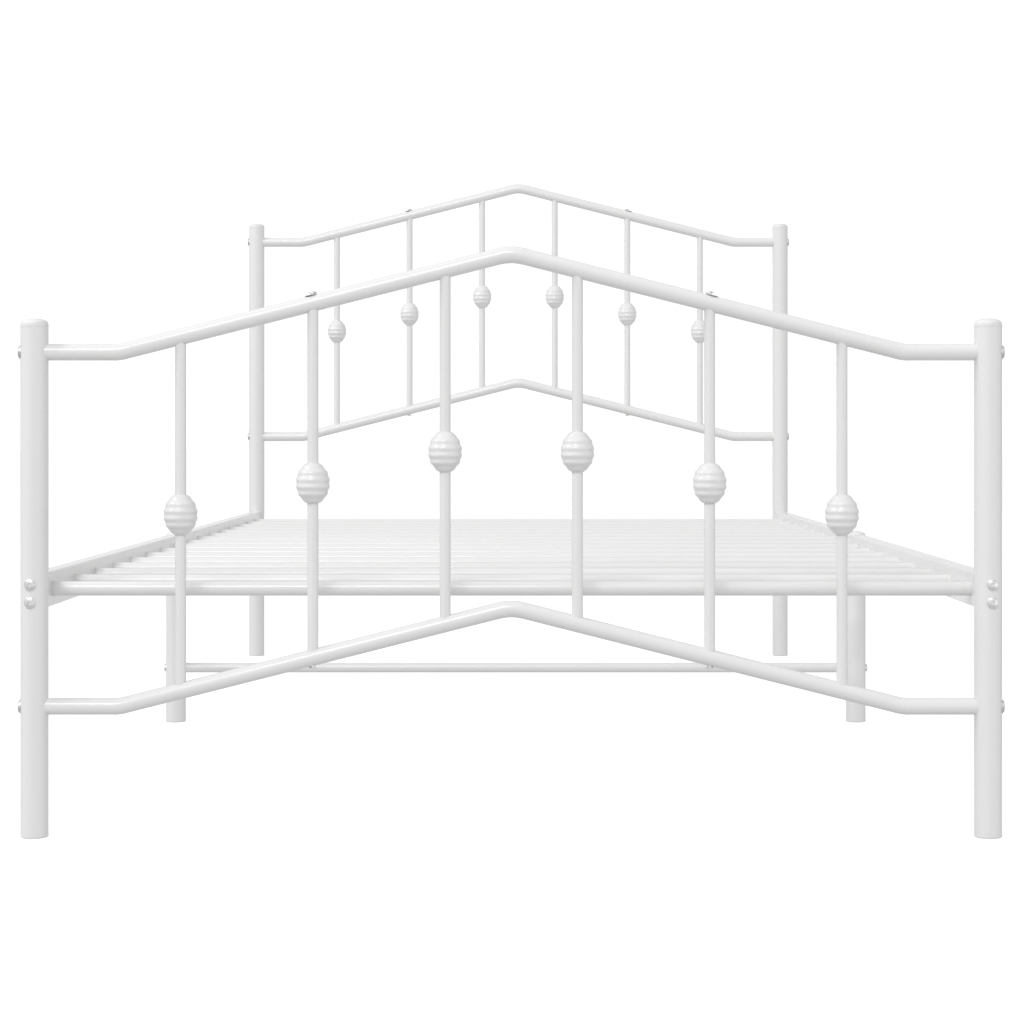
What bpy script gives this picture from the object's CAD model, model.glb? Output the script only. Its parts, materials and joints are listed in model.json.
"""Single bed frame in white powder-coated steel tube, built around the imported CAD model."""

import json
import math

import bmesh
import bpy
from mathutils import Matrix, Vector


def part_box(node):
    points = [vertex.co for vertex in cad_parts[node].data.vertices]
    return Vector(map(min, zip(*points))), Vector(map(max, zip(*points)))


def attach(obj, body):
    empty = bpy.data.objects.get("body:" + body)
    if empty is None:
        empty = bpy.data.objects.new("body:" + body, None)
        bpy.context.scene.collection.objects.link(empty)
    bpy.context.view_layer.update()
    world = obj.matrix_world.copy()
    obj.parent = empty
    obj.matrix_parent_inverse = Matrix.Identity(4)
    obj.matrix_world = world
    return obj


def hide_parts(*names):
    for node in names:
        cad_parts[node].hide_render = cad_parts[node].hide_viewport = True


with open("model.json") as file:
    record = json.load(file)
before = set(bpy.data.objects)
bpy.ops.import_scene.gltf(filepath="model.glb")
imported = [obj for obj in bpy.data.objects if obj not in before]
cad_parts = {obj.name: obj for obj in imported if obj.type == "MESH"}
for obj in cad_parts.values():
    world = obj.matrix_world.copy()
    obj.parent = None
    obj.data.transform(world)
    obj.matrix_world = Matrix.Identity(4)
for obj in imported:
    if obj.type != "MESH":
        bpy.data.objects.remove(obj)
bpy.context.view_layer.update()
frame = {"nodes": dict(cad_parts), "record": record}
nodes = frame["nodes"]
subparts = {s["node"]: s["material_slot"] for s in frame["record"]["subparts"]}

# Camera at the foot end, level, with the view's centre a little off to one side and below
CAMERA_AT = (0.0171, -3.5007, 0.434)
LENS_MM = 80.74
SENSOR_MM = 36.0
SHIFT = (-0.01475, -0.0751)


def add_camera():
    data = bpy.data.cameras.new("camera")
    data.lens = LENS_MM
    data.sensor_width = SENSOR_MM
    data.shift_x, data.shift_y = SHIFT
    data.clip_end = 200.0
    camera = bpy.data.objects.new("camera", data)
    camera.location = CAMERA_AT
    camera.rotation_euler = (math.radians(90), 0, 0)
    bpy.context.scene.collection.objects.link(camera)
    bpy.context.scene.camera = camera


# Node helpers
def new_material(name):
    material = bpy.data.materials.new(name)
    material.use_nodes = True
    tree = material.node_tree
    return material, tree, tree.nodes["Principled BSDF"]


def add_node(tree, kind, **inputs):
    node = tree.nodes.new(kind)
    for key, value in inputs.items():
        node.inputs[key].default_value = value
    return node


def noise(tree, coords, scale, detail):
    node = add_node(tree, "ShaderNodeTexNoise", Scale=scale, Detail=detail, Roughness=0.5)
    tree.links.new(coords, node.inputs["Vector"])
    return node.outputs["Fac"]


def ramp(tree, factor, stops):
    """A colour that changes between two (position, colour) stops."""
    node = tree.nodes.new("ShaderNodeValToRGB")
    elements = node.color_ramp.elements
    elements[0].position, elements[0].color = stops[0]
    elements[1].position, elements[1].color = stops[1]
    tree.links.new(factor, node.inputs["Fac"])
    return node.outputs["Color"]


def grey(value, warm=0.0):
    return (value, value, value - warm, 1.0)


def span(tree, factor, low, high):
    node = add_node(tree, "ShaderNodeMapRange")
    node.inputs["To Min"].default_value = low
    node.inputs["To Max"].default_value = high
    tree.links.new(factor, node.inputs["Value"])
    return node.outputs["Result"]


def bump(tree, height, strength, distance):
    node = add_node(tree, "ShaderNodeBump", Strength=strength, Distance=distance)
    tree.links.new(height, node.inputs["Height"])
    return node.outputs["Normal"]


def coords_of(tree):
    return tree.nodes.new("ShaderNodeTexCoord").outputs["Object"]


def powder_coat():
    """Satin white powder coat: fine orange peel, and a slightly uneven build of paint."""
    material, tree, shader = new_material("white_powder_coat")
    coords = coords_of(tree)
    cloud = noise(tree, coords, 5.0, detail=2.0)
    peel = noise(tree, coords, 700.0, detail=1.0)
    colour = ramp(tree, cloud, [(0.3, grey(0.808, 0.004)), (0.7, grey(0.818, 0.002))])
    tree.links.new(colour, shader.inputs["Base Color"])
    tree.links.new(span(tree, cloud, 0.19, 0.23), shader.inputs["Roughness"])
    tree.links.new(bump(tree, peel, 0.02, 0.0002), shader.inputs["Normal"])
    return material


def moulded_white(name, roughness, speckle):
    """White plastic, slightly cloudy, with a fine grain of a given scale."""
    material, tree, shader = new_material(name)
    coords = coords_of(tree)
    cloud = noise(tree, coords, 25.0, detail=2.0)
    grain = noise(tree, coords, speckle, detail=3.0)
    tree.links.new(ramp(tree, cloud, [(0.3, grey(0.79)), (0.7, grey(0.82))]), shader.inputs["Base Color"])
    tree.links.new(span(tree, grain, roughness - 0.04, roughness + 0.05), shader.inputs["Roughness"])
    tree.links.new(bump(tree, grain, 0.08, 0.0003), shader.inputs["Normal"])
    return material


def plated(name, dark, light, roughness):
    """Zinc plate: faint blotches and fine wear."""
    material, tree, shader = new_material(name)
    coords = coords_of(tree)
    blotch = noise(tree, coords, 350.0, detail=3.0)
    fine = noise(tree, coords, 2600.0, detail=2.0)
    shader.inputs["Metallic"].default_value = 1.0
    colour = ramp(tree, blotch, [(0.35, grey(dark)), (0.65, grey(light))])
    tree.links.new(colour, shader.inputs["Base Color"])
    tree.links.new(span(tree, blotch, roughness - 0.06, roughness + 0.08), shader.inputs["Roughness"])
    tree.links.new(bump(tree, fine, 0.1, 0.0001), shader.inputs["Normal"])
    return material


materials = {
    "white_coat": powder_coat(),
    "white_bead": moulded_white("white_bead", 0.2, 900.0),
    "white_plastic": moulded_white("white_plastic", 0.42, 1400.0),
    "bright_plate": plated("bright_zinc_plate", 0.84, 0.92, 0.28),
    "grey_plate": plated("grey_zinc_plate", 0.62, 0.74, 0.48),
    "plain_steel": plated("plain_steel", 0.36, 0.46, 0.42),
}
for name, obj in nodes.items():
    obj.data.materials.clear()
    obj.data.materials.append(materials[subparts[name]])


# Turned pieces that stand for the CAD's beads, caps and bolts. Sizes are in metres
SEGMENTS = 64
SHARP_ANGLE = math.radians(35)


def turned(bm, place, outline, loop=False):
    """Adds the surface that an outline of (radius, height) points makes as it turns round the Z axis of a
    place. A point can be a function of the angle, and a radius of 0 lies on the axis."""
    rings = []
    for point in outline:
        ring = []
        for k in range(SEGMENTS):
            angle = 2 * math.pi * k / SEGMENTS
            radius, height = point(angle) if callable(point) else point
            corner = Vector((radius * math.cos(angle), radius * math.sin(angle), height))
            ring.append(bm.verts.new(place @ corner))
            if radius == 0:
                break
        rings.append(ring)
    for one, other in zip(rings, rings[1:] + rings[:1] if loop else rings[1:]):
        for k in range(SEGMENTS):
            corners = [one[k % len(one)], one[(k + 1) % len(one)],
                       other[(k + 1) % len(other)], other[k % len(other)]]
            bm.faces.new(dict.fromkeys(corners))


def add_piece(name, bm, *stands_for):
    """Makes a piece of a bmesh. It takes the place and the finish of the CAD nodes that it stands for."""
    bmesh.ops.recalc_face_normals(bm, faces=bm.faces)
    mesh = bpy.data.meshes.new(name)
    bm.to_mesh(mesh)
    bm.free()
    mesh.shade_smooth()
    mesh.set_sharp_from_angle(angle=SHARP_ANGLE)
    mesh.materials.append(materials[subparts[stands_for[0]]])
    piece = bpy.data.objects.new(name, mesh)
    bpy.context.scene.collection.objects.link(piece)
    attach(piece, "root")
    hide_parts(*stands_for)


def middle(node):
    low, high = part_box(node)
    return (Vector(low) + Vector(high)) / 2


# Beads: an egg outline with a regular wave of hollows, bored for the spindle
BEAD_H = 0.0434
BEAD_D = 0.037
BEAD_REACH = 0.0232
BEAD_PITCH = 0.0081
BEAD_SCALLOP = 0.00085
BEAD_BORE = 0.0121
BEAD_STEPS = 108
BEADS = 6


def bead_outline():
    points = [(BEAD_BORE / 2, -BEAD_H / 2), (BEAD_BORE / 2, BEAD_H / 2)]
    for k in range(BEAD_STEPS + 1):
        height = BEAD_H * (0.5 - k / BEAD_STEPS)
        egg = BEAD_D / 2 * math.sqrt(1 - (height / BEAD_REACH) ** 2)
        hollow = BEAD_SCALLOP / 2 * (1 + math.cos(2 * math.pi * height / BEAD_PITCH))
        points.append((egg - hollow, height))
    return points


def add_beads(end):
    """A panel's beads. They climb in even steps from the outermost two to the middle two."""
    low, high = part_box(end + "_beads")
    lowest, highest = low[2] + BEAD_H / 2, high[2] - BEAD_H / 2
    bm = bmesh.new()
    for i in range(BEADS):
        place = middle("%s_spindle_%d" % (end, i + 1))
        place.z = lowest + (highest - lowest) * min(i, BEADS - 1 - i) / (BEADS / 2 - 1)
        turned(bm, Matrix.Translation(place), bead_outline(), loop=True)
    add_piece(end + "_turned_beads", bm, end + "_beads")


# Caps: a domed top that is fuller at the shoulder than an ellipse, a seam where it meets the tube,
# and a stem
CAP_SKIRT = 0.002
CAP_SQUARE = 2.6
CAP_SEAM = 0.0003
CAP_STEM = 0.008
CAP_STEM_INSET = 0.00125
CAP_WALL = 0.0016
CAP_STEPS = 24
TUBES = [
    "foot_post_left", "foot_post_right", "head_post_left", "head_post_right",
    "mid_leg_left", "mid_leg_right",
]


def cap_outline(radius, height):
    power = 2 / CAP_SQUARE
    points = [(0, height)]
    for k in range(1, CAP_STEPS + 1):
        angle = math.pi / 2 * k / CAP_STEPS
        points.append((radius * math.sin(angle) ** power,
                       CAP_SKIRT + (height - CAP_SKIRT) * max(math.cos(angle), 0) ** power))
    stem = radius - CAP_STEM_INSET
    return points + [(radius, CAP_SEAM), (radius - CAP_SEAM, 0), (stem, 0), (stem, -CAP_STEM),
                     (stem - CAP_WALL, -CAP_STEM), (stem - CAP_WALL, 0), (0, 0)]


def add_caps():
    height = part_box("tube_caps")[1][2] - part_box("head_post_left")[1][2]
    bm = bmesh.new()
    for tube in TUBES:
        low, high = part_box(tube)
        seat = middle(tube)
        seat.z = high[2]
        turned(bm, Matrix.Translation(seat), cap_outline((high[0] - low[0]) / 2, height))
    add_piece("domed_caps", bm, "tube_caps")


# Bolts: button heads with a chamfered hexagon socket. Each one is fitted to a solid of the CAD's bolt node
# The socket's half width is a share of the head's radius, and its floor a share of the head's height
SOCKET_SHARE = 0.34
SOCKET_FLOOR = 0.15
SOCKET_CHAMFER = 0.0002
HEAD_EDGE = 0.00025
TIP_CHAMFER = 0.0006
DOME_STEPS = 8
SAME_SPOT = 1e-6
SAME_SIZE = 1e-5


def solids(node):
    """The points of each separate solid of a CAD node."""
    bm = bmesh.new()
    bm.from_mesh(nodes[node].data)
    bm.transform(nodes[node].matrix_world)
    bmesh.ops.remove_doubles(bm, verts=bm.verts, dist=SAME_SPOT)
    left = set(bm.verts)
    found = []
    while left:
        front = [left.pop()]
        points = []
        while front:
            vert = front.pop()
            points.append(vert.co.copy())
            near = {edge.other_vert(vert) for edge in vert.link_edges} & left
            left -= near
            front += near
        found.append(points)
    bm.free()
    return found


def bolt_sizes(points):
    """A bolt's place under its head, with Z out of the head, its head's radius, rim height and height,
    and its shank's radius and length."""
    spans = [(min(p[i] for p in points), max(p[i] for p in points)) for i in range(3)]
    axis = max(range(3), key=lambda i: spans[i][1] - spans[i][0])
    centre = Vector([sum(span) / 2 for span in spans])
    out = Vector([1.0 if i == axis else 0.0 for i in range(3)])

    def off_axis(p):
        return math.dist([p[i] for i in range(3) if i != axis], [centre[i] for i in range(3) if i != axis])

    radius = max(map(off_axis, points))
    rim = [p for p in points if off_axis(p) > radius - SAME_SIZE]
    if rim[0][axis] < centre[axis]:
        out.negate()
    along = sorted(out.dot(p - centre) for p in points)
    rim_along = sorted(out.dot(p - centre) for p in rim)
    shank = max(off_axis(p) for p in points if out.dot(p - centre) < along[0] + SAME_SIZE)
    under = rim_along[0]
    place = Matrix.Translation(centre + under * out) @ out.to_track_quat("Z", "Y").to_matrix().to_4x4()
    return place, radius, rim_along[-1] - under, along[-1] - under, shank, under - along[0]


def bolt_outline(radius, rim, height, shank, length):
    crown = height - rim
    dome = (radius ** 2 + crown ** 2) / (2 * crown)
    floor = SOCKET_FLOOR * height

    def on_dome(r):
        return r, height - dome + math.sqrt(dome ** 2 - r ** 2)

    def hexagon(angle, wider=0.0):
        return SOCKET_SHARE * radius / math.cos(angle % (math.pi / 3) - math.pi / 6) + wider

    def socket_lip(angle):
        return hexagon(angle), on_dome(hexagon(angle))[1] - SOCKET_CHAMFER

    widest = hexagon(0, SOCKET_CHAMFER)
    steps = [widest + (radius - HEAD_EDGE - widest) * k / DOME_STEPS for k in range(1, DOME_STEPS + 1)]
    return [(0, floor), lambda angle: (hexagon(angle), floor), socket_lip,
            lambda angle: on_dome(hexagon(angle, SOCKET_CHAMFER)), *map(on_dome, steps),
            (radius, rim - HEAD_EDGE), (radius, HEAD_EDGE), (radius - HEAD_EDGE, 0), (shank, 0),
            (shank, TIP_CHAMFER - length), (shank - TIP_CHAMFER, -length), (0, -length)]


def add_bolts(node):
    bm = bmesh.new()
    for points in solids(node):
        place, *sizes = bolt_sizes(points)
        turned(bm, place, bolt_outline(*sizes))
    add_piece("turned_" + node, bm, node)


add_beads("foot")
add_beads("head")
add_caps()
for bolts in ("panel_bolts", "frame_bolts", "tie_bolts", "tongue_screws"):
    add_bolts(bolts)


# Studio: a floor that only the camera sees, a white backdrop dome, and soft lights far from the bed
DOME_RADIUS = 60.0
FLOOR_GLOW = 0.75
DOME_GLOW = 1.1
AMBIENT = 0.575
BED_MIDDLE = Vector((0, 0, 0.4))


def add_floor():
    bpy.ops.mesh.primitive_plane_add(size=3 * DOME_RADIUS, location=(0, 0, 0))
    floor = bpy.context.object
    floor.name = "floor"
    floor.visible_diffuse = False
    floor.visible_glossy = False
    material, _, shader = new_material("pale_floor")
    shader.inputs["Base Color"].default_value = grey(0.5)
    shader.inputs["Roughness"].default_value = 1.0
    shader.inputs["Specular IOR Level"].default_value = 0.0
    shader.inputs["Emission Color"].default_value = grey(1.0)
    shader.inputs["Emission Strength"].default_value = FLOOR_GLOW
    floor.data.materials.append(material)


def add_dome():
    bpy.ops.mesh.primitive_uv_sphere_add(segments=64, ring_count=32, radius=DOME_RADIUS)
    dome = bpy.context.object
    dome.name = "backdrop"
    dome.visible_diffuse = False
    dome.visible_glossy = False
    dome.visible_shadow = False
    material, _, shader = new_material("white_backdrop")
    shader.inputs["Base Color"].default_value = grey(0.0)
    shader.inputs["Specular IOR Level"].default_value = 0.0
    shader.inputs["Emission Color"].default_value = grey(1.0)
    shader.inputs["Emission Strength"].default_value = DOME_GLOW
    dome.data.materials.append(material)


def add_softbox(name, azimuth, elevation, across, up, share, distance=9.0):
    """An area light that faces the bed. Its azimuth, which is 0 at the foot end and grows to the right, its
    elevation and the angles it fills are in degrees, and share is how brightly it alone would light a white
    surface that faces it."""
    data = bpy.data.lights.new(name, "AREA")
    data.shape = "RECTANGLE"
    data.size, data.size_y = (2 * distance * math.tan(math.radians(angle / 2)) for angle in (across, up))
    data.energy = share * (math.pi * distance) ** 2
    light = bpy.data.objects.new(name, data)
    level = math.cos(math.radians(elevation))
    towards = Vector((math.sin(math.radians(azimuth)) * level, -math.cos(math.radians(azimuth)) * level,
                      math.sin(math.radians(elevation))))
    light.location = BED_MIDDLE + distance * towards
    light.rotation_euler = (-towards).to_track_quat("-Z", "Y").to_euler()
    bpy.context.scene.collection.objects.link(light)


def light_scene():
    world = bpy.data.worlds.new("studio")
    world.use_nodes = True
    background = world.node_tree.nodes["Background"]
    background.inputs["Color"].default_value = grey(1.0)
    background.inputs["Strength"].default_value = AMBIENT
    bpy.context.scene.world = world
    add_softbox("front_key", -12, 35, 20, 12, 0.25)
    add_softbox("left_key", -75, 45, 13, 13, 0.32)
    add_softbox("left_fill", -90, 30, 50, 30, 0.05)
    add_softbox("top_fill", 0, 85, 60, 60, 0.02)
    add_softbox("front_fill", 0, 5, 110, 40, 0.13)
    add_softbox("right_fill", 60, -5, 60, 40, 0.08)
    add_softbox("back_fill", 180, -20, 80, 60, 0.2)
    bpy.context.scene.view_settings.view_transform = "Standard"


add_camera()
add_floor()
add_dome()
light_scene()
